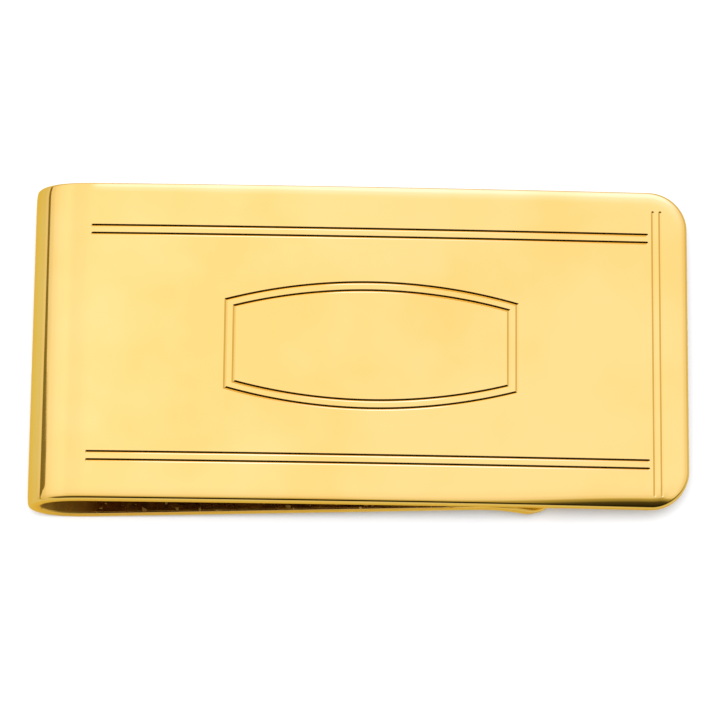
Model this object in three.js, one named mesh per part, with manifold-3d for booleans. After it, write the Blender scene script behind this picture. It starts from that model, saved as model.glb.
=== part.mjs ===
// Spring money clip, folded from one strip of sheet brass and gold plated.
// Millimetres. +X runs along the clip to its open end, +Y across the strip, +Z up.
// The clip lies on its back: the fold and the tip of the grip lip touch the surface below it,
// and the engraved cover faces up.
//
// The strip is described by the line along the middle of its thickness, followed from the free end
// of the cover, round the fold and back along the spring leaf to the lip. Each stretch of the strip
// is its own solid. Stretches of one rigid body meet face to face; the cover stands clear of the
// fold at the line where the clip flexes open.

import * as THREE from 'three';
import Module from 'manifold-3d';
import { mergeVertices } from 'three/addons/utils/BufferGeometryUtils.js';

// ---- the strip ----
const STRIP_WIDTH = 25.4;
const SHEET = 1.0;
const FREE_END_X = 25.4;
const CORNER_RADIUS = 3.0;

// ---- stretches of the strip, as lengths along the middle of the sheet ----
const COVER_LENGTH = 44.95;
const COVER_BOW_RADIUS = 980;
const FOLD_LENGTH = 13.7;
const LEAF_LENGTH = 27.0;
const LIP_BEND_LENGTH = 6.6;
const LIP_LENGTH = 2.0;
const LEAF_ANGLE = THREE.MathUtils.degToRad(7.8);
const LIP_ANGLE = THREE.MathUtils.degToRad(33);

// ---- where the cover flexes, and the room left there ----
const FLEX_LINE_X = -16.5;
const FLEX_GAP = 0.3;

// ---- how the clip lies on a surface ----
const REST_TILT = THREE.MathUtils.degToRad(2.385);

// ---- engraving on the cover, seen from above ----
const ENGRAVING_WIDTH = 0.27;
const ENGRAVING_DEPTH = 0.08;
const ENGRAVING_Y = -0.25;
const RULE_OUTER_Y = 9.41;
const RULE_GAP = 0.65;
const RULE_START_X = -20.8;
const RULE_END_X = 22.25;
const END_RULE_X = 22.72;
const END_RULE_GAP = 0.57;
const END_RULE_LOW_Y = -11.7;
const END_RULE_HIGH_Y = 11.0;
const CARTOUCHE_X = 0.88;
const CARTOUCHE_HALF_LENGTH = 11.25;
const CARTOUCHE_HALF_HEIGHT = 5.06;
const CARTOUCHE_ARC_RADIUS = 42;
const CARTOUCHE_GAP = 0.65;

// ---- how finely the curves are divided ----
const COVER_END_FACETS = 3;
const FOLD_FACETS = 20;
const LIP_BEND_FACETS = 8;
const ARC_POINTS = 8;

const GOLD = 0xf0c75a;

// ------------------------------------------------------------------ the strip's middle line

const FOLD_START = COVER_LENGTH;
const LEAF_START = FOLD_START + FOLD_LENGTH;
const LIP_BEND_START = LEAF_START + LEAF_LENGTH;
const LIP_START = LIP_BEND_START + LIP_BEND_LENGTH;
const STRIP_END = LIP_START + LIP_LENGTH;

// Headings are measured in the XZ plane, from +X towards +Z.
const FREE_END_HEADING = Math.PI - FREE_END_X / COVER_BOW_RADIUS;
const COVER_TURN = COVER_LENGTH / COVER_BOW_RADIUS;
const FOLD_TURN = 2 * Math.PI + LEAF_ANGLE - FREE_END_HEADING - COVER_TURN;

const STRETCHES = [
  { length: COVER_LENGTH, turn: COVER_TURN, ease: even },
  { length: FOLD_LENGTH, turn: FOLD_TURN, ease: soft },
  { length: LEAF_LENGTH, turn: 0, ease: even },
  { length: LIP_BEND_LENGTH, turn: -LEAF_ANGLE - LIP_ANGLE, ease: soft },
  { length: LIP_LENGTH, turn: 0, ease: even },
];

// A stretch that bends at one radius all along.
function even(part) {
  return part;
}

// A bend that starts and ends without a kink and is tightest at its middle.
function soft(part) {
  return part - Math.sin(2 * Math.PI * part) / (2 * Math.PI);
}

function headingAt(distance) {
  let heading = FREE_END_HEADING;
  let left = distance;
  for (const { length, turn, ease } of STRETCHES) {
    const part = THREE.MathUtils.clamp(left / length, 0, 1);
    heading += turn * ease(part);
    left -= length;
  }
  return heading;
}

// The middle of the sheet at a distance from the free end, and the strip's heading there.
// The cover's outer face passes through x = 0, z = 0.
function stationAt(distance) {
  const step = 0.05;
  const count = Math.max(1, Math.ceil(distance / step));
  let x = FREE_END_X;
  let z = -(FREE_END_X ** 2) / (2 * COVER_BOW_RADIUS) - SHEET / 2;
  for (let i = 0; i < count; i += 1) {
    const heading = headingAt((distance * (i + 0.5)) / count);
    x += (Math.cos(heading) * distance) / count;
    z += (Math.sin(heading) * distance) / count;
  }
  return { x, z, heading: headingAt(distance) };
}

// A point beside the middle line; offsets are positive towards the inside of the clip.
function beside(station, offset) {
  const x = station.x - Math.sin(station.heading) * offset;
  const z = station.z + Math.cos(station.heading) * offset;
  return new THREE.Vector2(x, z);
}

function evenly(from, to, count) {
  return Array.from({ length: count + 1 }, (_, i) => from + ((to - from) * i) / count);
}

// ------------------------------------------------------------------ solids

const wasm = await Module();
wasm.setup();

function toSolid(geometry) {
  const plain = geometry.clone();
  plain.deleteAttribute('normal');
  plain.deleteAttribute('uv');
  const merged = mergeVertices(plain, 1e-5);
  const vertProperties = new Float32Array(merged.getAttribute('position').array);
  const triVerts = new Uint32Array(merged.index.array);
  return new wasm.Manifold(new wasm.Mesh({ numProp: 3, vertProperties, triVerts }));
}

function toGeometry(solid) {
  const { vertProperties, triVerts } = solid.getMesh();
  const geometry = new THREE.BufferGeometry();
  geometry.setAttribute('position', new THREE.BufferAttribute(vertProperties, 3));
  geometry.setIndex(new THREE.BufferAttribute(triVerts, 1));
  geometry.computeVertexNormals();
  return geometry;
}

// A band that follows the strip between two offsets from the middle line, across the full width.
function band(distances, outerOffset, innerOffset, width) {
  const stations = distances.map(stationAt);
  const outer = stations.map((station) => beside(station, outerOffset));
  const inner = stations.map((station) => beside(station, innerOffset));
  const section = new THREE.Shape([...outer, ...inner.reverse()]);
  const geometry = new THREE.ExtrudeGeometry(section, { depth: width, bevelEnabled: false });
  geometry.rotateX(Math.PI / 2);
  geometry.translate(0, width / 2, 0);
  return geometry;
}

function stripBand(distances) {
  return band(distances, -SHEET / 2, SHEET / 2, STRIP_WIDTH);
}

// A straight-sided block of a plan outline, tall enough to pass through the sheet.
function planBlock(outline) {
  const height = 4;
  const geometry = new THREE.ExtrudeGeometry(outline, {
    depth: height,
    bevelEnabled: false,
    curveSegments: ARC_POINTS,
  });
  geometry.translate(0, 0, -height / 2);
  return geometry;
}

// The plan outline of a strip end: square at startX, round corners at endX.
function roundedEndOutline(startX, endX) {
  const side = STRIP_WIDTH / 2 + 1;
  const edge = STRIP_WIDTH / 2;
  const cornerX = endX - CORNER_RADIUS;
  const cornerY = edge - CORNER_RADIUS;
  const outline = new THREE.Shape();
  outline.moveTo(startX, -side);
  outline.lineTo(cornerX, -side);
  outline.lineTo(cornerX, -edge);
  outline.absarc(cornerX, -cornerY, CORNER_RADIUS, -Math.PI / 2, 0, false);
  outline.absarc(cornerX, cornerY, CORNER_RADIUS, 0, Math.PI / 2, false);
  outline.lineTo(cornerX, side);
  outline.lineTo(startX, side);
  outline.closePath();
  return outline;
}

// ------------------------------------------------------------------ engraving

// A cut line with round ends, from one point to another along X or Y.
function ruleOutline(x0, y0, x1, y1) {
  const half = ENGRAVING_WIDTH / 2;
  const along = Math.atan2(y1 - y0, x1 - x0);
  const outline = new THREE.Shape();
  outline.absarc(x1, y1, half, along - Math.PI / 2, along + Math.PI / 2, false);
  outline.absarc(x0, y0, half, along + Math.PI / 2, along + (3 * Math.PI) / 2, false);
  outline.closePath();
  return outline;
}

// The cartouche: straight ends, and long sides that bulge as arcs. grow moves every side outwards.
function addCartouche(path, grow) {
  const half = CARTOUCHE_HALF_LENGTH + grow;
  const radius = CARTOUCHE_ARC_RADIUS + grow;
  const centre = CARTOUCHE_HALF_HEIGHT - CARTOUCHE_ARC_RADIUS;
  const spread = Math.asin(half / radius);
  path.absarc(CARTOUCHE_X, ENGRAVING_Y + centre, radius, Math.PI / 2 - spread, Math.PI / 2 + spread, false);
  path.absarc(CARTOUCHE_X, ENGRAVING_Y - centre, radius, -Math.PI / 2 - spread, -Math.PI / 2 + spread, false);
  path.closePath();
  return path;
}

function cartoucheLine(grow) {
  const outline = addCartouche(new THREE.Shape(), grow + ENGRAVING_WIDTH / 2);
  outline.holes.push(addCartouche(new THREE.Path(), grow - ENGRAVING_WIDTH / 2));
  return outline;
}

function engravingOutlines() {
  const outlines = [cartoucheLine(0), cartoucheLine(-CARTOUCHE_GAP)];
  for (const side of [-1, 1]) {
    for (const inset of [0, RULE_GAP]) {
      const y = ENGRAVING_Y + side * (RULE_OUTER_Y - inset);
      outlines.push(ruleOutline(RULE_START_X, y, RULE_END_X, y));
    }
  }
  for (const x of [END_RULE_X, END_RULE_X + END_RULE_GAP]) {
    outlines.push(ruleOutline(x, END_RULE_LOW_Y, x, END_RULE_HIGH_Y));
  }
  return outlines;
}

// The lines as cutters: only the top of the sheet, down to the engraving's depth.
function engravingCutters(distances) {
  const above = -SHEET / 2 - 1;
  const skin = toSolid(band(distances, above, -SHEET / 2 + ENGRAVING_DEPTH, STRIP_WIDTH));
  return engravingOutlines().map((outline) => skin.intersect(toSolid(planBlock(outline))));
}

function engrave(solid, cutters) {
  return cutters.reduce((result, cutter) => result.subtract(cutter), solid);
}

// ------------------------------------------------------------------ sub-parts

// Distances of the cover's facets. One wide flat panel carries the cartouche.
const PANEL_START = FREE_END_X - (CARTOUCHE_X + CARTOUCHE_HALF_LENGTH + 0.4);
const PANEL_END = FREE_END_X - (CARTOUCHE_X - CARTOUCHE_HALF_LENGTH - 0.4);
const FLEX_LINE = FREE_END_X - FLEX_LINE_X;
const COVER_STATIONS = [
  ...evenly(0, PANEL_START, COVER_END_FACETS),
  PANEL_END,
  FLEX_LINE - FLEX_GAP / 2,
];
const FOLD_STATIONS = [
  FLEX_LINE + FLEX_GAP / 2,
  ...evenly(FOLD_START, LEAF_START, FOLD_FACETS),
];
const FOLD_FACETS_UNDER_RULES = 4;
const ENGRAVED_STATIONS = [
  ...COVER_STATIONS,
  ...FOLD_STATIONS.slice(0, FOLD_FACETS_UNDER_RULES + 2),
];

const cutters = engravingCutters(ENGRAVED_STATIONS);

function coverGeometry() {
  const sheet = toSolid(stripBand(COVER_STATIONS));
  const outline = toSolid(planBlock(roundedEndOutline(FLEX_LINE_X - 5, FREE_END_X)));
  return toGeometry(engrave(sheet.intersect(outline), cutters));
}

function foldGeometry() {
  return toGeometry(engrave(toSolid(stripBand(FOLD_STATIONS)), cutters));
}

function leafGeometry() {
  return stripBand([LEAF_START, LIP_BEND_START]);
}

// The lip flares away from the cover; its corners are rounded in the lip's own plane.
function lipGeometry() {
  const stations = [...evenly(LIP_BEND_START, LIP_START, LIP_BEND_FACETS), STRIP_END];
  const tip = stationAt(STRIP_END);
  const reach = 20;
  const outline = planBlock(roundedEndOutline(-reach, 0));
  outline.scale(1, 1, reach);
  outline.rotateY(LIP_ANGLE);
  outline.translate(tip.x, 0, tip.z);
  return toGeometry(toSolid(stripBand(stations)).intersect(toSolid(outline)));
}

function goldPlate() {
  return new THREE.MeshStandardMaterial({ color: GOLD, roughness: 0.12, metalness: 1 });
}

function subPart(name, geometry) {
  const mesh = new THREE.Mesh(geometry, goldPlate());
  mesh.name = name;
  return mesh;
}

// ------------------------------------------------------------------ the clip

const clip = new THREE.Group();
clip.add(subPart('front_plate', coverGeometry()));
clip.add(subPart('spring_bend', foldGeometry()));
clip.add(subPart('back_leaf', leafGeometry()));
clip.add(subPart('grip_lip', lipGeometry()));
clip.rotation.y = REST_TILT;
clip.updateMatrixWorld(true);

// The origin is the bottom centre of the clip as it lies.
const box = new THREE.Box3().setFromObject(clip, true);
const centre = box.getCenter(new THREE.Vector3());
clip.position.set(-centre.x, -centre.y, -box.min.z);

const group = new THREE.Group();
group.add(clip);

export default group;
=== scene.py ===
"""Looks for the money clip: a folded strip of polished, gold-plated sheet with cut engraving.

The strip is described as in the CAD model, by the line along the middle of its thickness, from the
free end of the cover round the fold and back along the leaf to the lip. Lengths are in millimetres
where nothing else is said; meshes are made in metres, in the frame of the CAD model.
"""

import math

import bpy
import numpy as np
from mathutils import Matrix, Vector
from mathutils.geometry import delaunay_2d_cdt


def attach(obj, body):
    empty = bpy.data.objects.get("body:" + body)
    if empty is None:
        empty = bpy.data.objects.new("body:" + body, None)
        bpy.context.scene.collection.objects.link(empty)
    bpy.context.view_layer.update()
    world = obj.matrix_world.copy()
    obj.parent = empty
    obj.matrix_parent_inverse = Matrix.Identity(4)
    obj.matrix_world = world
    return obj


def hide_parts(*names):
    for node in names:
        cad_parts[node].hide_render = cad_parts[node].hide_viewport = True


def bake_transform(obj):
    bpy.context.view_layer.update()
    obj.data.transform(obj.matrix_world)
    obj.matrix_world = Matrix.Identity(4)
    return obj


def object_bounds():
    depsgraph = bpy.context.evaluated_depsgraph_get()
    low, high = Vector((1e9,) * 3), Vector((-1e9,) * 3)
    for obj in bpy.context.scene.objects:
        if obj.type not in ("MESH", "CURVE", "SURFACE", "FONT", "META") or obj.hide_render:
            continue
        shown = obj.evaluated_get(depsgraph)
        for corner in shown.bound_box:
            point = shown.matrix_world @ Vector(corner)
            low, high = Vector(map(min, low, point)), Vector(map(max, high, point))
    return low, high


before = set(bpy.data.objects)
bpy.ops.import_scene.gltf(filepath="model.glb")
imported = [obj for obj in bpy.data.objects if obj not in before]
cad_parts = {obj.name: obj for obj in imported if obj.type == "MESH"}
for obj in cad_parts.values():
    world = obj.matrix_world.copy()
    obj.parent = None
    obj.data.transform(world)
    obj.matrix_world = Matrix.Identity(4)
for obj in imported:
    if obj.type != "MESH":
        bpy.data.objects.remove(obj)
cad_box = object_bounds()

MM = 0.001

# ------------------------------------------------------------------ the strip, as in the CAD model

STRIP_WIDTH = 25.4
SHEET = 1.0
FREE_END_X = 25.4
CORNER_RADIUS = 3.0
COVER_LENGTH = 44.95
COVER_BOW_RADIUS = 980.0
FOLD_LENGTH = 13.7
LEAF_LENGTH = 27.0
LIP_BEND_LENGTH = 6.6
LIP_LENGTH = 2.0
LEAF_ANGLE = math.radians(7.8)
LIP_ANGLE = math.radians(33)
REST_TILT = math.radians(2.385)

FOLD_START = COVER_LENGTH
LEAF_START = FOLD_START + FOLD_LENGTH
LIP_BEND_START = LEAF_START + LEAF_LENGTH
LIP_START = LIP_BEND_START + LIP_BEND_LENGTH
STRIP_END = LIP_START + LIP_LENGTH

FREE_END_HEADING = math.pi - FREE_END_X / COVER_BOW_RADIUS
COVER_TURN = COVER_LENGTH / COVER_BOW_RADIUS
FOLD_TURN = 2 * math.pi + LEAF_ANGLE - FREE_END_HEADING - COVER_TURN

# Where the sheet bends when the cover lifts.
FLEX_START_X = -18.9
FLEX_END_X = -13.6

# The sheet's edge. From FALL_START in, the outer face falls away ever steeper, and it ends in a small
# round. The cover's front edge is rubbed down further, most of all towards the free end.
FALL_START = 1.3
FALL_ANGLE = math.radians(9)
RUBBED_FALL_ANGLE = math.radians(17)
RUBBED_FROM = 22.0
RUBBED_AT = 3.0
RUBBED_WIDENS = 0.75
RUBBED_CORNER_FROM = 0.8
RUBBED_CORNER_BLEND = 1.4
RUBBED_SIDE_FROM = 7.0
RUBBED_SIDE_BLEND = 4.0
OUTER_ROUND = 0.23
INNER_ROUND = 0.20

# The engraving. Its places are along and across the cover, from the middle of the strip.
ENGRAVING_WIDTH = 0.27
ENGRAVING_DEPTH = 0.08
ENGRAVING_Y = -0.25
RULE_OUTER_Y = 9.41
RULE_GAP = 0.65
RULE_START_X = -20.8
RULE_END_X = 22.25
END_RULE_X = 22.72
END_RULE_GAP = 0.57
END_RULE_LOW_Y = -11.7
END_RULE_HIGH_Y = 11.0
CARTOUCHE_X = 0.88
CARTOUCHE_HALF_LENGTH = 11.25
CARTOUCHE_HALF_HEIGHT = 5.06
CARTOUCHE_ARC_RADIUS = 42.0
CARTOUCHE_GAP = 0.65

# How finely the meshes are divided.
TRACE_STEP = 0.005
FALL_STEPS = 6
STEEP_FALL_STEPS = 4
OUTER_ROUND_STEPS = 10
INNER_ROUND_STEPS = 8
CORNER_STEPS = 28
FOLD_STEPS = 89
LEAF_STEPS = 27
LIP_STEPS = 39
CUT_END_STEPS = 8
END_RULE_STEPS = 28
CARTOUCHE_ARC_STEPS = 64
CARTOUCHE_END_STEPS = 8
COARSE_STEP = 0.8
FINE_STEP = 0.2
FINE_FROM = COVER_LENGTH - 1.2
PLAIN_STEP = 1.5


# ------------------------------------------------------------------ the strip's middle line

def even(part):
    """A bend that turns at the same rate throughout."""
    return part


def soft(part):
    """A bend that starts and ends gently."""
    return part - np.sin(2 * np.pi * part) / (2 * np.pi)


STRETCHES = [
    (COVER_LENGTH, COVER_TURN, even),
    (FOLD_LENGTH, FOLD_TURN, soft),
    (LEAF_LENGTH, 0.0, even),
    (LIP_BEND_LENGTH, -LEAF_ANGLE - LIP_ANGLE, soft),
    (LIP_LENGTH, 0.0, even),
]


def heading_at(distance):
    """The way the middle line runs, as an angle in the plane of x and z."""
    distance = np.asarray(distance, float)
    heading = np.full(distance.shape, FREE_END_HEADING)
    start = 0.0
    for length, turn, ease in STRETCHES:
        heading = heading + turn * ease(np.clip((distance - start) / length, 0, 1))
        start += length
    return heading


def trace_middle():
    """Distance, x and z along the middle line, finely enough to read between."""
    count = int(round(STRIP_END / TRACE_STEP))
    distance = np.linspace(0, STRIP_END, count + 1)
    heading = heading_at((distance[1:] + distance[:-1]) / 2)
    stride = STRIP_END / count
    start_z = -FREE_END_X**2 / (2 * COVER_BOW_RADIUS) - SHEET / 2
    x = FREE_END_X + np.concatenate([[0], np.cumsum(np.cos(heading) * stride)])
    z = start_z + np.concatenate([[0], np.cumsum(np.sin(heading) * stride)])
    return distance, x, z


MIDDLE = trace_middle()

# How far round the fold along_x can still find a place.
READS_PAST_COVER = 3.0


def along_x(x):
    """The distance along the strip at which the cover passes x."""
    distance, xs, _ = MIDDLE
    cover = distance <= FOLD_START + READS_PAST_COVER
    return float(np.interp(-x, -xs[cover], distance[cover]))


def place_clip():
    """Turns and moves the strip's own axes onto the CAD model's box."""
    turn = Matrix.Rotation(REST_TILT, 3, "Y")
    distance, x, z = MIDDLE
    heading = heading_at(distance)
    ends = []
    for offset in (-SHEET / 2, SHEET / 2):
        px = x - np.sin(heading) * offset
        pz = z + np.cos(heading) * offset
        ends.append(np.stack([px, np.zeros_like(px), pz], 1) @ np.array(turn).T)
    ends = np.concatenate(ends)
    low, high = (np.array(corner) / MM for corner in cad_box)
    move_x = (low[0] + high[0]) / 2 - (ends[:, 0].min() + ends[:, 0].max()) / 2
    move_z = low[2] - ends[:, 2].min()
    return np.array(turn), np.array([move_x, 0.0, move_z])


TURN, MOVE = place_clip()


def to_frame(points):
    """Millimetres in the clip's own axes to metres in the row frame."""
    return (np.asarray(points, float) @ TURN.T + MOVE) * MM


def turn_only(vectors):
    """Directions in the clip's own axes to directions in the row frame."""
    return np.asarray(vectors, float) @ TURN.T


def strip_points(distance, across, depth):
    """Points at a distance along the strip, a place across it and a depth under its outer face."""
    distance, across, depth = (np.asarray(a, float) for a in (distance, across, depth))
    heading = heading_at(distance)
    x = np.interp(distance, MIDDLE[0], MIDDLE[1])
    z = np.interp(distance, MIDDLE[0], MIDDLE[2])
    offset = depth - SHEET / 2
    x = x - np.sin(heading) * offset
    z = z + np.cos(heading) * offset
    return to_frame(np.stack([x, across, z], -1))


def strip_vectors(distance, along, across, out):
    """Directions with parts along the strip, across it and out of its outer face."""
    heading = heading_at(distance)
    x = np.cos(heading) * along + np.sin(heading) * out
    z = np.sin(heading) * along - np.cos(heading) * out
    return turn_only(np.stack([x, across + np.zeros_like(x), z], -1))


# ------------------------------------------------------------------ the sheet's edges

def smooth(part):
    """Goes gently from 0 to 1 as part does."""
    part = np.clip(part, 0, 1)
    return part * part * (3 - 2 * part)


def cover_fall_angle(distance, across):
    """The cover's front edge is rubbed down most towards its free end."""
    along = smooth((RUBBED_FROM - distance) / (RUBBED_FROM - RUBBED_AT)) ** 2
    around_corner = smooth((distance - RUBBED_CORNER_FROM) / RUBBED_CORNER_BLEND)
    front = smooth((-across - RUBBED_SIDE_FROM) / RUBBED_SIDE_BLEND)
    return FALL_ANGLE + (RUBBED_FALL_ANGLE - FALL_ANGLE) * along * around_corner * front


def plain_fall_angle(distance, across):
    """An edge that is the same all along."""
    return np.full(np.shape(distance), FALL_ANGLE)


def round_inset(angle):
    """How far in from the edge its outer round starts, where the face has fallen to this angle."""
    return OUTER_ROUND * (1 - np.sin(angle))


def fall(inset, angle):
    """How deep and how tilted the outer face is at a distance in from the sheet's edge."""
    rubbed = np.clip((angle - FALL_ANGLE) / (RUBBED_FALL_ANGLE - FALL_ANGLE), 0, 1)
    start = FALL_START + RUBBED_WIDENS * np.sqrt(rubbed)
    length = start - round_inset(angle)
    part = np.clip((start - inset) / length, 0, 1)
    return angle * length * part**3 / 3, angle * part**2


# The rings of the edge are counted from the middle outwards. The engraved face ends at ENGRAVED_RING,
# which lies ENGRAVED_INSET in from the edge.
ENGRAVED_INSET = 0.5
ENGRAVED_RING = FALL_STEPS


def edge_profile(fall_angle):
    """Inset, depth and tilt of the edge, from the outer face round to the inner face."""
    inset = np.concatenate([
        np.linspace(FALL_START, ENGRAVED_INSET, FALL_STEPS + 1),
        np.linspace(ENGRAVED_INSET, round_inset(fall_angle), STEEP_FALL_STEPS + 1)[1:],
    ])
    depth, tilt = fall(inset, fall_angle)
    outer = np.linspace(fall_angle, math.pi / 2, OUTER_ROUND_STEPS + 1)[1:]
    inner = np.linspace(0, math.pi / 2, INNER_ROUND_STEPS + 1)
    outer_inset = OUTER_ROUND * (1 - np.sin(outer))
    outer_depth = depth[-1] + OUTER_ROUND * (math.cos(fall_angle) - np.cos(outer))
    inner_inset = INNER_ROUND * (1 - np.cos(inner))
    inner_depth = SHEET - INNER_ROUND * (1 - np.sin(inner))
    inset = np.concatenate([inset, outer_inset, inner_inset])
    depth = np.concatenate([depth, outer_depth, inner_depth])
    return inset, depth, np.concatenate([tilt, outer, math.pi / 2 + inner])


LAST_RING = len(edge_profile(FALL_ANGLE)[0]) - 1

# The finish of the sheet, and the painted shade inside the clip, are marked on its vertices. The inside
# of the clip is dull and painted darker as shade from a little way in from the free end to the lip,
# except at the nose of the fold, which is brushed and not shaded.
INSIDE = "inside_of_clip"
BRUSHED = 0.5
DULL_AND_SHADE_FROM = 6.0
DULL_AND_SHADE_BLEND = 8.0
NOSE_GOLD_FROM = FOLD_START + 4.0
NOSE_GOLD_TO = FOLD_START + 8.2
SHADE_RETURNS = LEAF_START + 1.5
LIP_GOLD_FROM = LIP_BEND_START + 1.0
LIP_GOLD_BLEND = 2.0
INNER_FROM = 0.75
INNER_BLEND = 0.25

CUT_EDGE = "cut_edge"
CUT_EDGE_FROM = 0.25
CUT_EDGE_BLEND = 0.2


def inside_mark(distance, depth):
    """0 where the strip is polished, BRUSHED on the nose of the fold, 1 where the inside is rough and
    painted darker as shade.
    """
    before_nose = smooth((NOSE_GOLD_TO - distance) / (NOSE_GOLD_TO - NOSE_GOLD_FROM))
    past_nose = smooth((distance - NOSE_GOLD_TO) / (SHADE_RETURNS - NOSE_GOLD_TO))
    # How rough the inside is, and how dark its colour is painted as shade.
    dull_and_shaded = BRUSHED + (1 - BRUSHED) * np.maximum(before_nose, past_nose)
    before_lip = smooth((LIP_GOLD_FROM - distance) / LIP_GOLD_BLEND)
    past_free_end = smooth((distance - DULL_AND_SHADE_FROM) / DULL_AND_SHADE_BLEND)
    inner = smooth((depth / SHEET - INNER_FROM) / INNER_BLEND)
    return inner * before_lip * past_free_end * dull_and_shaded


def cut_edge_mark(depth):
    """1 along the middle of the sheet's cut edge."""
    below_face = smooth((depth - CUT_EDGE_FROM) / CUT_EDGE_BLEND)
    above_back = smooth((SHEET - depth) / CUT_EDGE_BLEND)
    return below_face * above_back


def straight_rows(distances):
    """Places on the strip's long side: distance along, half width, and the outward direction."""
    return [(distance, STRIP_WIDTH / 2, 0.0, 1.0) for distance in distances]


def corner_rows(end, outward):
    """The round corner at a free end. outward is the sign of the way out along the strip."""
    rows = []
    for angle in np.linspace(0, math.pi / 2, CORNER_STEPS + 1):
        distance = end - outward * CORNER_RADIUS * (1 - math.sin(angle))
        across = STRIP_WIDTH / 2 - CORNER_RADIUS * (1 - math.cos(angle))
        rows.append((distance, across, outward * math.sin(angle), math.cos(angle)))
    return rows


def inset_from_edge(distance, across):
    """How far a point of the cover is from its outline, and the way out there."""
    from_side = STRIP_WIDTH / 2 - np.abs(across)
    in_corner = (distance < CORNER_RADIUS) & (from_side < CORNER_RADIUS)
    to_end = CORNER_RADIUS - distance
    to_side = CORNER_RADIUS - from_side
    reach = np.hypot(to_end, to_side)
    near_end = distance < from_side
    inset = np.where(in_corner, CORNER_RADIUS - reach, np.where(near_end, distance, from_side))
    safe = np.maximum(reach, 1e-9)
    out_along = np.where(in_corner, -to_end / safe, np.where(near_end, -1.0, 0.0))
    out_across = np.where(in_corner, to_side / safe, np.where(near_end, 0.0, 1.0))
    return inset, out_along, out_across * np.sign(across)


# ------------------------------------------------------------------ meshes

class Skin:
    """Collects the vertices, faces and exact normals of one piece."""

    def __init__(self):
        self.points = []
        self.normals = []
        self.flat = []
        self.faces = []
        self.face_normals = []
        self.marks = {INSIDE: [], CUT_EDGE: []}

    def add(self, distance, across, depth, out_along, out_across, out):
        """Vertices at places on the strip, with normals given in the strip's own directions."""
        first = len(self.points)
        self.points.extend(strip_points(distance, across, depth))
        self.normals.extend(strip_vectors(distance, out_along, out_across, out))
        self.flat.extend(zip(distance, across))
        distance, depth = np.asarray(distance), np.asarray(depth)
        self.marks[INSIDE].extend(inside_mark(distance, depth))
        self.marks[CUT_EDGE].extend(cut_edge_mark(depth))
        return np.arange(first, len(self.points))

    def face(self, corners, normal=None):
        """A face turned outwards: smooth, or with a normal of its own."""
        corners = [int(c) for c in corners]
        own = [self.normals[c] for c in corners]
        normals = own if normal is None else [normal] * len(corners)
        p = np.array([self.points[c] for c in corners])
        area = np.cross(p - p[0], np.roll(p, -1, 0) - p[0]).sum(0)
        if float(area @ sum(normals)) < 0:
            corners.reverse()
            normals.reverse()
        self.faces.append(corners)
        self.face_normals.append(normals)

    def piece(self, name):
        """Makes the object, with only the vertices that its faces use."""
        used = sorted({corner for face in self.faces for corner in face})
        renumber = {old: new for new, old in enumerate(used)}
        mesh = bpy.data.meshes.new(name)
        faces = [[renumber[c] for c in face] for face in self.faces]
        mesh.from_pydata([tuple(self.points[i]) for i in used], [], faces)
        mesh.polygons.foreach_set("use_smooth", [True] * len(mesh.polygons))
        mesh.update()
        loops = [tuple(n / np.linalg.norm(n)) for normals in self.face_normals for n in normals]
        mesh.normals_split_custom_set(loops)
        for mark_name, values in self.marks.items():
            mark = mesh.attributes.new(mark_name, "FLOAT", "POINT")
            mark.data.foreach_set("value", [values[i] for i in used])
        piece = bpy.data.objects.new(name, mesh)
        bpy.context.scene.collection.objects.link(piece)
        return piece


def lay_rims(skin, rows, fall_angle):
    """The rounded edge along both sides of a stretch, as two grids of vertices: row by ring."""
    rims = []
    for side in (-1, 1):
        ids = []
        for distance, across, out_along, out_across in rows:
            inset, depth, tilt = edge_profile(float(fall_angle(distance, side * across)))
            along = distance - out_along * inset
            sideways = side * (across - out_across * inset)
            outward = np.sin(tilt)
            normal = (out_along * outward, side * out_across * outward, np.cos(tilt))
            ids.append(skin.add(along, sideways, depth, *normal))
        rims.append(np.array(ids))
    return rims


def lay_strip(skin, rows, free_end, fall_angle=plain_fall_angle, plain_rows=None):
    """A closed stretch of strip. Its first row is a cut; its last row is a free end or a cut.

    plain_rows is how many of its rows have a plain outer face; the rest are left for the engraving.
    """
    low, high = lay_rims(skin, rows, fall_angle)
    last = len(rows) - 1
    plain = last if plain_rows is None else plain_rows
    for rim in (low, high):
        for i in range(last):
            for k in range(0 if i < plain else ENGRAVED_RING, LAST_RING):
                skin.face([rim[i, k], rim[i + 1, k], rim[i + 1, k + 1], rim[i, k + 1]])
    for i in range(last):
        skin.face([low[i, LAST_RING], high[i, LAST_RING], high[i + 1, LAST_RING], low[i + 1, LAST_RING]])
    for i in range(plain):
        skin.face([low[i, 0], high[i, 0], high[i + 1, 0], low[i + 1, 0]])
    towards_start = -1.0 if rows[1][0] > rows[0][0] else 1.0
    cap_rim(skin, rows[0][0], low[0], high[0], towards_start)
    if free_end:
        for k in range(0 if plain == last else ENGRAVED_RING, LAST_RING):
            skin.face([low[last, k], high[last, k], high[last, k + 1], low[last, k + 1]])
    else:
        cap_rim(skin, rows[last][0], low[last], high[last], -towards_start)
    return low, high


def cap_rim(skin, distance, low, high, way):
    """Closes a stretch where it is cut across, with a flat face that looks along the strip."""
    out = strip_vectors(np.array([distance]), way, 0.0, 0.0)[0]
    skin.face(list(low) + list(high[::-1]), out)


# ------------------------------------------------------------------ engraving

RULES_END = along_x(RULE_START_X)
ENGRAVED_END = RULES_END + 0.5
PAST_RULES_STEPS = 2


def engraved_distances():
    """Distances along the strip at which the engraved face has lines of vertices."""
    coarse = np.linspace(CORNER_RADIUS, FINE_FROM, round((FINE_FROM - CORNER_RADIUS) / COARSE_STEP))
    fine = np.linspace(FINE_FROM, RULES_END, round((RULES_END - FINE_FROM) / FINE_STEP))
    past_rules = np.linspace(RULES_END, ENGRAVED_END, PAST_RULES_STEPS + 1)
    return np.concatenate([coarse, fine[1:], past_rules[1:]])


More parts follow.
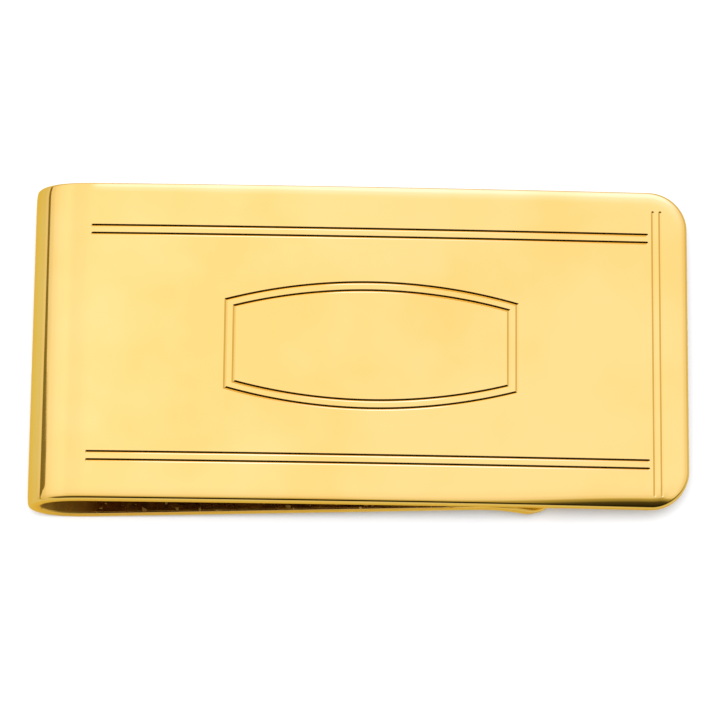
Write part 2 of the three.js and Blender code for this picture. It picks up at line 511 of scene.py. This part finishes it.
ENGRAVED_ROWS = engraved_distances()
HALF_LINE = ENGRAVING_WIDTH / 2
CLEAR_OF_LINES = 1.3 * ENGRAVING_WIDTH
CLEAR_OF_ENDS = 0.1
BORDER_REACH = 9.0
PLAIN_REACH = 10.5
SAME_PLACE = 1e-6


def cut_line(bottom):
    """A straight cut with round ends: its bottom, and its rim as one closed loop."""
    bottom = np.array(bottom)
    along = bottom[-1] - bottom[0]
    along /= np.linalg.norm(along)
    side = np.array([-along[1], along[0]])
    angles = np.linspace(0, math.pi, CUT_END_STEPS + 1)[1:-1]
    far_end = [bottom[-1] + HALF_LINE * (along * math.sin(a) - side * math.cos(a)) for a in angles]
    near_end = [bottom[0] - HALF_LINE * (along * math.sin(a) - side * math.cos(a)) for a in angles]
    rim = list(bottom - side * HALF_LINE) + far_end + list(bottom[::-1] + side * HALF_LINE) + near_end
    return bottom, False, [np.array(rim)]


def long_rule(across):
    """A cut along the cover, with a point on every line of vertices that it crosses."""
    start = along_x(RULE_END_X)
    between = [d for d in ENGRAVED_ROWS if start + CLEAR_OF_ENDS < d < RULES_END - CLEAR_OF_ENDS]
    return cut_line([(d, across) for d in [start] + between + [RULES_END]])


def end_rule(x):
    """A cut across the cover."""
    places = np.linspace(END_RULE_LOW_Y, END_RULE_HIGH_Y, END_RULE_STEPS + 1)
    return cut_line([(along_x(x), y) for y in places])


def cartouche_loop(grow):
    """The cartouche's outline moved outwards by grow."""
    half = CARTOUCHE_HALF_LENGTH + grow
    radius = CARTOUCHE_ARC_RADIUS + grow
    centre = CARTOUCHE_HALF_HEIGHT - CARTOUCHE_ARC_RADIUS
    spread = math.asin(half / radius)
    corner_y = centre + radius * math.cos(spread)
    points = []
    for side in (1, -1):
        for angle in np.linspace(-spread, spread, CARTOUCHE_ARC_STEPS + 1)[:-1]:
            points.append((side * radius * math.sin(angle), side * (centre + radius * math.cos(angle))))
        for y in np.linspace(corner_y, -corner_y, CARTOUCHE_END_STEPS + 1)[:-1]:
            points.append((side * half, side * y))
    return np.array([(along_x(CARTOUCHE_X + x), ENGRAVING_Y + y) for x, y in points])


def cartouche_line(grow):
    """One of the cartouche's two cuts: a closed bottom with a rim outside it and a rim inside it."""
    rims = [cartouche_loop(grow + HALF_LINE), cartouche_loop(grow - HALF_LINE)]
    return cartouche_loop(grow), True, rims


def engraving_lines():
    """Every cut line, as its bottom, whether that is closed, and its rims."""
    lines = [cartouche_line(0.0), cartouche_line(-CARTOUCHE_GAP)]
    for side in (-1, 1):
        for inset in (0.0, RULE_GAP):
            lines.append(long_rule(ENGRAVING_Y + side * (RULE_OUTER_Y - inset)))
    for x in (END_RULE_X, END_RULE_X + END_RULE_GAP):
        lines.append(end_rule(x))
    return lines


def distance_to_lines(points, lines):
    """The distance from each point to the nearest line bottom."""
    points = np.asarray(points)
    best = np.full(len(points), np.inf)
    for bottom, closed, _ in lines:
        path = np.concatenate([bottom, bottom[:1]]) if closed else bottom
        for a, b in zip(path[:-1], path[1:]):
            edge = b - a
            part = np.clip(((points - a) @ edge) / (edge @ edge), 0, 1)
            best = np.minimum(best, np.linalg.norm(points - a - part[:, None] * edge, axis=1))
    return best


def add_face_points(skin, flat, cut_depth):
    """Vertices of the cover's outer face, which falls a little towards the sheet's edge."""
    flat = np.asarray(flat)
    inset, out_along, out_across = inset_from_edge(flat[:, 0], flat[:, 1])
    depth, tilt = fall(inset, cover_fall_angle(flat[:, 0], flat[:, 1]))
    normal = (out_along * np.sin(tilt), out_across * np.sin(tilt), np.cos(tilt))
    return skin.add(flat[:, 0], flat[:, 1], depth + cut_depth, *normal)


def spread_across(reach):
    """Even places across the strip, as far as reach to either side."""
    return np.arange(-reach, reach + PLAIN_STEP / 2, PLAIN_STEP)


def plain_places(lines):
    """Where the engraved face has vertices between its lines and along its falling border."""
    places = []
    outline = straight_rows(ENGRAVED_ROWS[::-1][1:]) + corner_rows(0, -1)[1::3]
    for inset in np.linspace(FALL_START, ENGRAVED_INSET, FALL_STEPS + 1)[:-1:2]:
        for distance, across, out_along, out_across in outline:
            for side in (-1, 1):
                places.append((distance - out_along * inset, side * (across - out_across * inset)))
        places += [(inset, y) for y in spread_across(BORDER_REACH)]
    for distance in ENGRAVED_ROWS[::2]:
        if distance < FINE_FROM:
            places += [(distance, y) for y in spread_across(PLAIN_REACH)]
    keep = distance_to_lines(places, lines) > CLEAR_OF_LINES
    return np.array(places)[keep]


def engrave(skin, low, high, first):
    """Fills the cover's outer face, from row first to the free end, with its cut lines in it."""
    border = list(low[first:, ENGRAVED_RING]) + list(high[first:, ENGRAVED_RING][::-1])
    border += list(high[first, :ENGRAVED_RING][::-1]) + list(low[first, :ENGRAVED_RING])
    ids = list(border)
    edges = [(i, (i + 1) % len(border)) for i in range(len(border))]
    lines = engraving_lines()

    def include(new_ids, closed):
        start = len(ids)
        ids.extend(new_ids)
        last = len(new_ids) if closed else len(new_ids) - 1
        edges.extend((start + i, start + (i + 1) % len(new_ids)) for i in range(last))

    for bottom, closed, rims in lines:
        include(add_face_points(skin, bottom, ENGRAVING_DEPTH), closed)
        for rim in rims:
            include(add_face_points(skin, rim, 0.0), True)
    ids.extend(add_face_points(skin, plain_places(lines), 0.0))

    flat = np.array([skin.flat[i] for i in ids])
    for distance in ENGRAVED_ROWS[:-1]:
        if distance > FINE_FROM:
            on_row = np.flatnonzero(np.abs(flat[:, 0] - distance) < SAME_PLACE)
            on_row = on_row[np.argsort(flat[on_row, 1])]
            edges.extend((int(a), int(b)) for a, b in zip(on_row[:-1], on_row[1:]))

    inside_border = 1
    made = delaunay_2d_cdt([Vector(p) for p in flat], edges, [], inside_border, SAME_PLACE)
    out_points, out_faces, sources = made[0], made[2], made[3]
    corner_ids = [ids[source[0]] for source in sources]
    middles = np.array([np.mean([tuple(out_points[c]) for c in face], 0) for face in out_faces])
    in_cut = distance_to_lines(middles, lines) < HALF_LINE
    for face, cut in zip(out_faces, in_cut):
        corners = [corner_ids[c] for c in face]
        if cut:
            p = np.array([skin.points[c] for c in corners])
            wall = np.cross(p[1] - p[0], p[2] - p[0])
            wall *= np.sign(wall[2])
            skin.face(corners, wall)
        else:
            skin.face(corners)


# ------------------------------------------------------------------ pieces

def make_cover():
    """The engraved cover and the whole fold, which are one sweep of polished metal."""
    skin = Skin()
    fold = list(np.linspace(LEAF_START, ENGRAVED_END, FOLD_STEPS + 1))[:-1]
    rows = straight_rows(fold + list(ENGRAVED_ROWS[::-1])) + corner_rows(0.0, -1)[1:]
    low, high = lay_strip(skin, rows, True, cover_fall_angle, len(fold))
    engrave(skin, low, high, len(fold))
    return skin.piece("engraved_cover")


def make_leaf():
    """The flat spring leaf under the cover."""
    skin = Skin()
    lay_strip(skin, straight_rows(np.linspace(LEAF_START, LIP_BEND_START, LEAF_STEPS + 1)), False)
    return skin.piece("spring_leaf")


def make_lip():
    """The lip, which turns away from the cover and ends in round corners."""
    skin = Skin()
    straight = np.linspace(LIP_BEND_START, STRIP_END - CORNER_RADIUS, LIP_STEPS + 1)
    lay_strip(skin, straight_rows(straight) + corner_rows(STRIP_END, 1)[1:], True)
    return skin.piece("flared_lip")


# ------------------------------------------------------------------ materials

class Nodes:
    """Short ways to add the nodes of one shader."""

    def __init__(self, tree):
        self.tree = tree

    def add(self, kind, **inputs):
        node = self.tree.nodes.new(kind)
        for name, value in inputs.items():
            self.feed(node.inputs[name.replace("_", " ")], value)
        return node

    def feed(self, socket, value):
        if isinstance(value, bpy.types.NodeSocket):
            self.tree.links.new(value, socket)
        else:
            socket.default_value = value

    def math(self, operation, *values):
        node = self.tree.nodes.new("ShaderNodeMath")
        node.operation = operation
        for socket, value in zip(node.inputs, values):
            self.feed(socket, value)
        return node.outputs[0]

    def rise(self, value, start, end, low=0.0, high=1.0):
        """Goes smoothly from low to high as value goes from start to end."""
        node = self.tree.nodes.new("ShaderNodeMapRange")
        node.interpolation_type = "SMOOTHSTEP"
        for socket, given in zip(node.inputs, (value, start, end, low, high)):
            self.feed(socket, given)
        return node.outputs[0]

    def noise(self, place, scale, detail):
        """Noise around 0.5; scale is how many of its lumps fit in a metre."""
        return self.add("ShaderNodeTexNoise", Vector=place, Scale=scale, Detail=detail).outputs[0]

    def mark(self, name):
        """A mark that Skin.piece stored on the vertices."""
        node = self.add("ShaderNodeAttribute")
        node.attribute_name = name
        return node.outputs["Fac"]

    def stretch(self, place, scale):
        return self.add("ShaderNodeMapping", Vector=place, Scale=scale).outputs[0]

    def bump(self, height, strength, distance, under=None):
        node = self.add("ShaderNodeBump", Height=height, Strength=strength, Distance=distance)
        if under is not None:
            self.feed(node.inputs["Normal"], under)
        return node.outputs[0]

    def mix_colour(self, part, first, second):
        node = self.tree.nodes.new("ShaderNodeMix")
        node.data_type = "RGBA"
        self.feed(node.inputs["Factor"], part)
        for socket, given in zip([i for i in node.inputs if i.type == "RGBA"], (first, second)):
            self.feed(socket, given)
        return next(o for o in node.outputs if o.type == "RGBA")

    def mix_value(self, part, first, second):
        span = self.math("SUBTRACT", second, first)
        return self.math("MULTIPLY_ADD", part, span, first)

    def curve(self, value, stops):
        """A brightness by angle: stops are (degrees, brightness) pairs, brightness at most 1."""
        first, last = stops[0][0], stops[-1][0]
        span = self.tree.nodes.new("ShaderNodeMapRange")
        for socket, given in zip(span.inputs, (value, first, last, 0.0, 1.0)):
            self.feed(socket, given)
        ramp = self.tree.nodes.new("ShaderNodeValToRGB")
        ramp.color_ramp.interpolation = "EASE"
        elements = ramp.color_ramp.elements
        while len(elements) < len(stops):
            elements.new(1.0)
        for element, (angle, level) in zip(elements, stops):
            element.position = (angle - first) / (last - first)
            element.color = (level, level, level, 1)
        self.tree.links.new(span.outputs[0], ramp.inputs["Fac"])
        return ramp.outputs["Color"]


def new_material(name):
    """An empty material with a shader, and a way to add nodes to it."""
    material = bpy.data.materials.new(name)
    material.use_nodes = True
    tree = material.node_tree
    tree.nodes.clear()
    nodes = Nodes(tree)
    shader = nodes.add("ShaderNodeBsdfPrincipled")
    output = nodes.add("ShaderNodeOutputMaterial")
    tree.links.new(shader.outputs["BSDF"], output.inputs["Surface"])
    return material, nodes, shader


GOLD_DEEP = (0.860, 0.572, 0.132, 1)
GOLD_PALE = (0.868, 0.612, 0.166, 1)
# The inside colour is painted shade: darker and browner where little light reaches into the clip.
GOLD_SHADED_INSIDE = (0.60, 0.365, 0.13, 1)
GOLD_SPECK = (0.90, 0.66, 0.22, 1)
GOLD_CUT = (0.80, 0.47, 0.075, 1)
GOLD_RIM = (1.0, 0.80, 0.38, 1)

# How many lumps of each noise fit in a metre.
CLOUD_SCALE = 95.0
DUST_SCALE = 1900.0
HAZE_SCALE = 340.0
RIPPLE_SCALE = 120.0
GRAIN_SCALE = 1500.0
HAIRLINE_SCALES = (90.0, 2600.0, 90.0)
CROSSING_SCALES = (2200.0, 120.0, 120.0)

# The stretches of each noise, or of the inside mark, over which a look goes from none to full.
CLOUD_RANGE = (0.36, 0.64)
DUST_RANGE = (0.65, 0.70)
HAZE_RANGE = (0.3, 0.75)
BRUSHED_RANGE = (0.0, 0.45)
# Over this stretch of the inside mark the inside turns dull and is painted darker as shade.
DULL_AND_SHADE_RANGE = (0.55, 1.0)

# Roughness where there is least haze and where there is most.
POLISHED_ROUGHNESS = (0.05, 0.085)
RUBBED_ROUGHNESS = (0.04, 0.09)
INSIDE_ROUGHNESS = (0.20, 0.32)
CUT_EDGE_ROUGHER = 0.08
NOSE_ROUGHER = 0.26
DUST_ROUGHER = 0.40

# Strength of each bump, and its height in metres.
SCRATCH_BUMP = (0.10, 0.000004)
RUBBED_SCRATCHES = 0.30
CROSSING_SHARE = 0.4
GRAIN_BUMP = (0.5, 0.00003)
RIPPLE_BUMP = (0.45, 0.00004)


def gold_colour(nodes, place, inside, cut_edge, dust):
    """Slightly cloudy gold outside, deeper on the cut edge, and painted shade with bright specks of dust
    inside.
    """
    cloud = nodes.noise(place, CLOUD_SCALE, detail=3.0)
    polished = nodes.mix_colour(nodes.rise(cloud, *CLOUD_RANGE), GOLD_DEEP, GOLD_PALE)
    polished = nodes.mix_colour(cut_edge, polished, GOLD_CUT)
    # Inside the clip the colour is painted shade, broken by bright specks of dust.
    shaded_inside_with_specks = nodes.mix_colour(dust, GOLD_SHADED_INSIDE, GOLD_SPECK)
    return nodes.mix_colour(nodes.rise(inside, *DULL_AND_SHADE_RANGE), polished, shaded_inside_with_specks)


def gold_roughness(nodes, place, inside, cut_edge, dust, rub):
    """A hazy polish outside; rougher inside, most of all on the nose of the fold and on the specks."""
    haze = nodes.noise(place, HAZE_SCALE, detail=6.0)
    rubbed = [least + rub * more for least, more in zip(POLISHED_ROUGHNESS, RUBBED_ROUGHNESS)]
    outer = nodes.rise(haze, *HAZE_RANGE, *rubbed)
    outer = nodes.math("MULTIPLY_ADD", cut_edge, CUT_EDGE_ROUGHER, outer)
    inner = nodes.rise(haze, *HAZE_RANGE, *INSIDE_ROUGHNESS)
    inner = nodes.math("ADD", inner, nodes.rise(inside, *DULL_AND_SHADE_RANGE, NOSE_ROUGHER, 0.0))
    inner = nodes.math("MULTIPLY_ADD", dust, DUST_ROUGHER, inner)
    return nodes.mix_value(nodes.rise(inside, *BRUSHED_RANGE), outer, inner)


def gold_normal(nodes, place, inside, rub):
    """Fine scratches both ways, a grain where the sheet is brushed or dull, and a faint ripple."""
    hairlines = nodes.noise(nodes.stretch(place, HAIRLINE_SCALES), scale=1.0, detail=4.0)
    crossing = nodes.noise(nodes.stretch(place, CROSSING_SCALES), scale=1.0, detail=3.0)
    scratches = nodes.math("MULTIPLY_ADD", crossing, CROSSING_SHARE, hairlines)
    strength, height = SCRATCH_BUMP
    normal = nodes.bump(scratches, strength + RUBBED_SCRATCHES * rub, height)
    grain = nodes.noise(place, GRAIN_SCALE, detail=3.0)
    grain = nodes.math("MULTIPLY", grain, nodes.rise(inside, *BRUSHED_RANGE))
    normal = nodes.bump(grain, *GRAIN_BUMP, normal)
    return nodes.bump(nodes.noise(place, RIPPLE_SCALE, detail=1.0), *RIPPLE_BUMP, normal)


def gold_plate(name, rub):
    """Polished gold plate; rub is how worn it is, from 0 to 1. Inside the clip it is left duller and
    painted darker as shade.
    """
    material, nodes, shader = new_material(name)
    shader.inputs["Metallic"].default_value = 1.0
    shader.inputs["Specular Tint"].default_value = GOLD_RIM
    place = nodes.add("ShaderNodeTexCoord").outputs["Object"]
    inside = nodes.mark(INSIDE)
    cut_edge = nodes.mark(CUT_EDGE)
    dust = nodes.rise(nodes.noise(place, DUST_SCALE, detail=1.0), *DUST_RANGE)
    colour = gold_colour(nodes, place, inside, cut_edge, dust)
    roughness = gold_roughness(nodes, place, inside, cut_edge, dust, rub)
    nodes.feed(shader.inputs["Base Color"], colour)
    nodes.feed(shader.inputs["Roughness"], roughness)
    nodes.feed(shader.inputs["Normal"], gold_normal(nodes, place, inside, rub))
    return material


FLOOR_WHITE = (0.90, 0.92, 0.955, 1)
FLOOR_IN_METAL = (0.64, 0.635, 0.56, 1)


def floor_material():
    """Plain pale paper, which the polished metal mirrors a shade darker than it looks."""
    material, nodes, shader = new_material("studio_floor")
    shader.inputs["Roughness"].default_value = 0.9
    shader.inputs["Specular IOR Level"].default_value = 0.0
    ray = nodes.add("ShaderNodeLightPath")
    white = nodes.mix_colour(ray.outputs["Is Glossy Ray"], FLOOR_WHITE, FLOOR_IN_METAL)
    nodes.feed(shader.inputs["Base Color"], white)
    return material


# ------------------------------------------------------------------ stage, light, camera

# Half the floor's side, in metres.
FLOOR_HALF = 1.6


def make_floor():
    """A wide square of paper under the clip."""
    corners = [(x * FLOOR_HALF, y * FLOOR_HALF, 0) for x, y in ((-1, -1), (1, -1), (1, 1), (-1, 1))]
    mesh = bpy.data.meshes.new("floor")
    mesh.from_pydata(corners, [], [(0, 1, 2, 3)])
    floor = bpy.data.objects.new("floor", mesh)
    floor.data.materials.append(floor_material())
    bpy.context.scene.collection.objects.link(floor)


# The studio as the metal mirrors it. Angles are degrees from straight up, by "back" towards the back
# of the clip and by "side" towards its open end. The lists are (angle, brightness) stops.
CEILING_BY_BACK = [
    (-20, 0.02), (-11, 0.06), (-5, 0.38), (0, 0.84), (6, 0.95), (14, 1.0), (90, 1.0),
]
CEILING_BY_SIDE = [
    (-90, 0.72), (-66, 0.80), (-55, 0.90), (-42, 0.97), (-28, 1.00), (-17, 0.95), (-10, 0.96),
    (-3, 1.00), (1, 0.98), (6, 0.95), (18, 0.94), (27, 0.80), (36, 0.62), (60, 0.62), (90, 0.62),
]
CEILING_LEVEL = 1.32

# The pale horizon all round, by the sine of the height above it, and the light on both sides.
HORIZON_FROM = 0.42
HORIZON_TO = 0.34
HORIZON_LEVEL = 0.72
BESIDE_FROM = 38.0
BESIDE_TO = 62.0
BESIDE_LEVEL = 0.85

# Bright parts of the ceiling are whiter than dim ones.
CEILING_TINT = (1.0, 1.0, 1.43, 1)
DIM_TINT = (1.0, 0.86, 0.40, 1)
DIM_FROM = 0.50
DIM_TO = 1.34

# A dark gap low down on the side of the fold. Its stops give its width, as parts of SIDE_GAP_WIDTH.
SIDE_GAP_BY_BACK = [
    (2, 0.0), (10, 0.3), (13.6, 0.62), (14.6, 0.72), (16, 0.34), (17.4, 0.22), (24, 0.2),
]
SIDE_GAP_END = 79.2
SIDE_GAP_WIDTH = 20.0
SIDE_GAP_LEVEL = 0.24
SIDE_GAP_TOP_BLEND = 3.0
SIDE_GAP_END_BLEND = (-1.0, 2.5)

# Two cool windows behind the clip, one above the other.
WINDOW_BY_BACK = [
    (21, 0), (28, 0.19), (34, 0.55), (40, 0.75), (46, 0.4),
    (52, 0), (56, 0), (62, 1), (80, 1), (86, 0),
]
WINDOW_WIDENS = 0.3
WINDOW_WIDENS_UP_TO = 14.0
WINDOW_LEANS = 0.1
WINDOW_SIDE_RISE = (-3.0, 1.0)
WINDOW_SIDE_FADE = (16.0, 34.0)
WINDOW_COLOUR = (0.55, 0.72, 3.8, 1)

# The even room lights the floor at ROOM_LEVEL, and the camera sees it at ROOM_SEEN_LEVEL.
ROOM_LEVEL = 0.52
ROOM_SEEN_LEVEL = 1.0

# The lamp leans from straight up; a negative lean is towards the front.
LAMP_LEAN = math.radians(-7)
LAMP_SPREAD = math.radians(15)
LAMP_LEVEL = 0.84


def mirrored_studio(nodes, back, side, up):
    """What the metal mirrors: a warm white ceiling with a dark gap, two windows and a pale horizon."""
    horizon = nodes.rise(up, HORIZON_TO, HORIZON_FROM, HORIZON_LEVEL, 0.0)
    beside = nodes.rise(nodes.math("ABSOLUTE", side), BESIDE_FROM, BESIDE_TO, 0.0, BESIDE_LEVEL)
    low_light = nodes.math("MAXIMUM", horizon, beside)
    by_back = nodes.math("MAXIMUM", nodes.curve(back, CEILING_BY_BACK), low_light)
    level = nodes.math("MULTIPLY", by_back, nodes.curve(side, CEILING_BY_SIDE))
    gap = nodes.math("MULTIPLY", nodes.curve(back, SIDE_GAP_BY_BACK), SIDE_GAP_WIDTH)
    from_up = nodes.math("MULTIPLY", side, -1.0)
    gap_start = nodes.math("SUBTRACT", SIDE_GAP_END, gap)
    gap_top = nodes.math("SUBTRACT", gap_start, SIDE_GAP_TOP_BLEND)
    above_gap = nodes.rise(from_up, gap_top, gap_start, 1.0, 0.0)
    below_gap = nodes.rise(from_up, *(SIDE_GAP_END + blend for blend in SIDE_GAP_END_BLEND))
    outside_gap = nodes.math("MAXIMUM", nodes.math("MAXIMUM", above_gap, below_gap), SIDE_GAP_LEVEL)
    level = nodes.math("MULTIPLY", nodes.math("MULTIPLY", level, outside_gap), CEILING_LEVEL)
    tint = nodes.mix_colour(nodes.rise(level, DIM_FROM, DIM_TO), DIM_TINT, CEILING_TINT)
    ceiling = nodes.add("ShaderNodeBackground", Color=tint, Strength=level)

    reach = nodes.math("MINIMUM", side, WINDOW_WIDENS_UP_TO)
    widened = nodes.math("MULTIPLY_ADD", reach, WINDOW_WIDENS, back)
    window = nodes.curve(widened, WINDOW_BY_BACK)
    window_side = nodes.math("MULTIPLY_ADD", back, WINDOW_LEANS, side)
    window = nodes.math("MULTIPLY", window, nodes.rise(window_side, *WINDOW_SIDE_RISE))
    window = nodes.math("MULTIPLY", window, nodes.rise(side, *WINDOW_SIDE_FADE, 1.0, 0.0))
    window = nodes.add("ShaderNodeBackground", Color=WINDOW_COLOUR, Strength=window)
    both = nodes.tree.nodes.new("ShaderNodeAddShader")
    nodes.feed(both.inputs[0], ceiling.outputs[0])
    nodes.feed(both.inputs[1], window.outputs[0])
    return both.outputs[0]


def make_world():
    """An even white room, and a studio ceiling that only the metal mirrors."""
    world = bpy.data.worlds.new("studio")
    world.use_nodes = True
    world.cycles.sampling_method = "NONE"
    world.node_tree.nodes.clear()
    nodes = Nodes(world.node_tree)
    place = nodes.add("ShaderNodeTexCoord")
    x, y, z = nodes.add("ShaderNodeSeparateXYZ", Vector=place.outputs["Generated"]).outputs
    degrees = math.degrees(1)
    back = nodes.math("MULTIPLY", nodes.math("ARCSINE", y), degrees)
    side = nodes.math("MULTIPLY", nodes.math("ARCTAN2", x, z), degrees)
    studio = mirrored_studio(nodes, back, side, z)

    ray = nodes.add("ShaderNodeLightPath")
    level = nodes.mix_value(ray.outputs["Is Camera Ray"], ROOM_LEVEL, ROOM_SEEN_LEVEL)
    room = nodes.add("ShaderNodeBackground", Color=(1, 1, 1, 1), Strength=level)
    seen = nodes.tree.nodes.new("ShaderNodeMixShader")
    nodes.feed(seen.inputs[0], ray.outputs["Is Glossy Ray"])
    nodes.feed(seen.inputs[1], room.outputs[0])
    nodes.feed(seen.inputs[2], studio)
    output = nodes.add("ShaderNodeOutputWorld")
    nodes.feed(output.inputs["Surface"], seen.outputs[0])
    bpy.context.scene.world = world


def make_lamp():
    """A wide soft lamp, high up and a little in front of the clip, that lights the floor."""
    data = bpy.data.lights.new("soft_lamp", "SUN")
    data.angle = 2 * LAMP_SPREAD
    data.energy = math.pi * LAMP_LEVEL
    lamp = bpy.data.objects.new("soft_lamp", data)
    lamp.location = (0, math.sin(LAMP_LEAN), math.cos(LAMP_LEAN))
    lamp.rotation_euler = (-LAMP_LEAN, 0, 0)
    lamp.visible_glossy = False
    bpy.context.scene.collection.objects.link(lamp)


# The camera, in the clip's own axes. VIEW_WIDTH is the width in view at VIEW_DISTANCE.
VIEW_DISTANCE = 337.0
VIEW_AZIMUTH = math.radians(1.43)
VIEW_TILT = math.radians(16.0)
VIEW_ROLL = math.radians(0.59)
VIEW_WIDTH = 55.5384
AIM_DOWN = 1.365
SENSOR_WIDTH = 36.0


def make_camera():
    """Looks down on the cover, from the side of its lower long edge."""
    back = np.array([
        -math.sin(VIEW_AZIMUTH) * math.cos(VIEW_TILT),
        -math.sin(VIEW_TILT),
        math.cos(VIEW_AZIMUTH) * math.cos(VIEW_TILT),
    ])
    right = np.cross([0.0, 1.0, 0.0], back)
    right /= np.linalg.norm(right)
    up = np.cross(back, right)
    roll_cos, roll_sin = math.cos(VIEW_ROLL), math.sin(VIEW_ROLL)
    right, up = roll_cos * right + roll_sin * up, roll_cos * up - roll_sin * right
    place = back * VIEW_DISTANCE - AIM_DOWN * up
    data = bpy.data.cameras.new("camera")
    data.sensor_width = SENSOR_WIDTH
    data.lens = SENSOR_WIDTH * VIEW_DISTANCE / VIEW_WIDTH
    data.clip_start = 0.01
    camera = bpy.data.objects.new("camera", data)
    axes = np.stack([turn_only(right), turn_only(up), turn_only(back)], 1)
    camera.matrix_world = Matrix.Translation(to_frame(place)) @ Matrix(axes.tolist()).to_4x4()
    bpy.context.scene.collection.objects.link(camera)
    bpy.context.scene.camera = camera


# ------------------------------------------------------------------ the scene

make_camera()
make_world()
make_lamp()
make_floor()
bpy.context.scene.view_settings.view_transform = "Standard"

# How worn the plating is.
COVER_RUB = 0.0
INNER_RUB = 0.5

cover = make_cover()
cover.data.materials.append(gold_plate("gold_cover", COVER_RUB))
flex_start = strip_points(along_x(FLEX_START_X), 0.0, SHEET / 2)
flex_end = strip_points(along_x(FLEX_END_X), 0.0, SHEET / 2)
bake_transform(cover)
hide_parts("front_plate", "spring_bend")

leaf = make_leaf()
leaf.data.materials.append(gold_plate("gold_leaf", INNER_RUB))
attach(leaf, "spring")
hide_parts("back_leaf")

lip = make_lip()
lip.data.materials.append(gold_plate("gold_lip", INNER_RUB))
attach(lip, "spring")
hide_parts("grip_lip")
